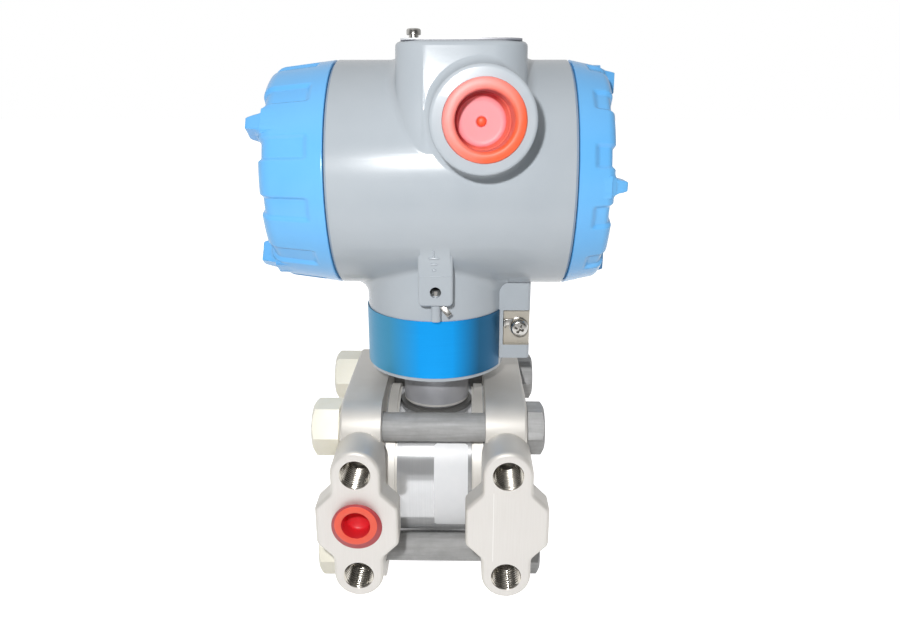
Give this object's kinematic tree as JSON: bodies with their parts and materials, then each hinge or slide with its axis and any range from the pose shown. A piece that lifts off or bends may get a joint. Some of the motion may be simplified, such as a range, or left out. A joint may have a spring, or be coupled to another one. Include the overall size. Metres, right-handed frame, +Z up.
{
  "type": "pressure transmitter",
  "caption": "Process pressure transmitter: bolted steel heads around a sensor body, a neck and a cast housing with screw-on end caps and plugged conduit entries.",
  "frame": {"origin": "centre of the four tapped manifold holes, on the plane of the two heads' front faces", "axes": "-Y points out of the mounting face, +Z up along the neck to the housing, +X to the right seen from the front; the sensor axis is parallel to X, 53.5 mm behind the face"},
  "size_m": [0.1277, 0.1144, 0.2074],
  "materials": {
    "cast_steel": "fine shot-blasted stainless casting with machined faces",
    "turned_steel": "turned stainless steel",
    "gasket": "plain white gasket",
    "seal_rubber": "plain black rubber",
    "plated_bolt": "dull plated steel",
    "coated_nut": "cream-coloured coating",
    "red_plug": "soft moulded plastic",
    "grey_paint": "satin grey paint on an aluminium casting",
    "blue_paint": "gloss blue paint on an aluminium casting",
    "blue_band": "blue-coated thin sheet",
    "small_screw": "plain stainless",
    "black_moulding": "plain moulding"
  },
  "bodies": {
    "meter": {"process_head": "cast_steel", "reference_head": "cast_steel", "sensor_body": "turned_steel", "header_tube": "turned_steel", "isolating_diaphragm": "turned_steel", "process_gasket": "gasket", "reference_gasket": "gasket", "neck_seal": "seal_rubber", "body_bolts": "plated_bolt", "body_nuts": "coated_nut", "vent_plugs": "turned_steel", "process_plug": "red_plug"},
    "housing": {"housing": "grey_paint", "name_band": "blue_band", "top_plate": "grey_paint", "top_screw": "small_screw", "clamp_screw": "small_screw", "lock_tab": "small_screw", "ground_screw": "small_screw", "front_conduit_plug": "red_plug", "rear_conduit_plug": "red_plug", "terminal_block": "black_moulding", "terminal_screws": "small_screw", "electronics_module": "black_moulding", "module_screws": "small_screw"},
    "left_seal": {"left_cap_seal": "seal_rubber"},
    "left_cap": {"left_cap": "blue_paint"},
    "right_seal": {"right_cap_seal": "seal_rubber"},
    "right_cap": {"right_cap": "blue_paint"}
  },
  "joints": [
    {"name": "housing_turn", "type": "hinge", "parent": "meter", "child": "housing", "pos_m": [0, 0.0535, 0.0556], "axis": [0, 0, 1], "range_deg": [-180, 180]},
    {"name": "left_cap_travel", "type": "slide", "parent": "housing", "child": "left_seal", "axis": [-1, 0, 0], "range_m": [0, 0.0101]},
    {"name": "left_cap_turn", "type": "hinge", "parent": "left_seal", "child": "left_cap", "pos_m": [-0.0351, 0.0535, 0.1193], "axis": [-1, 0, 0], "range_deg": [0, 1800]},
    {"name": "right_cap_travel", "type": "slide", "parent": "housing", "child": "right_seal", "axis": [1, 0, 0], "range_m": [0, 0.0101]},
    {"name": "right_cap_turn", "type": "hinge", "parent": "right_seal", "child": "right_cap", "pos_m": [0.0481, 0.0535, 0.1193], "axis": [1, 0, 0], "range_deg": [0, 1800]}
  ],
  "couplings": [
    {"joint": "left_cap_travel", "follows": "left_cap_turn", "m_per_rad": 0.00031831},
    {"joint": "right_cap_travel", "follows": "right_cap_turn", "m_per_rad": 0.00031831}
  ]
}
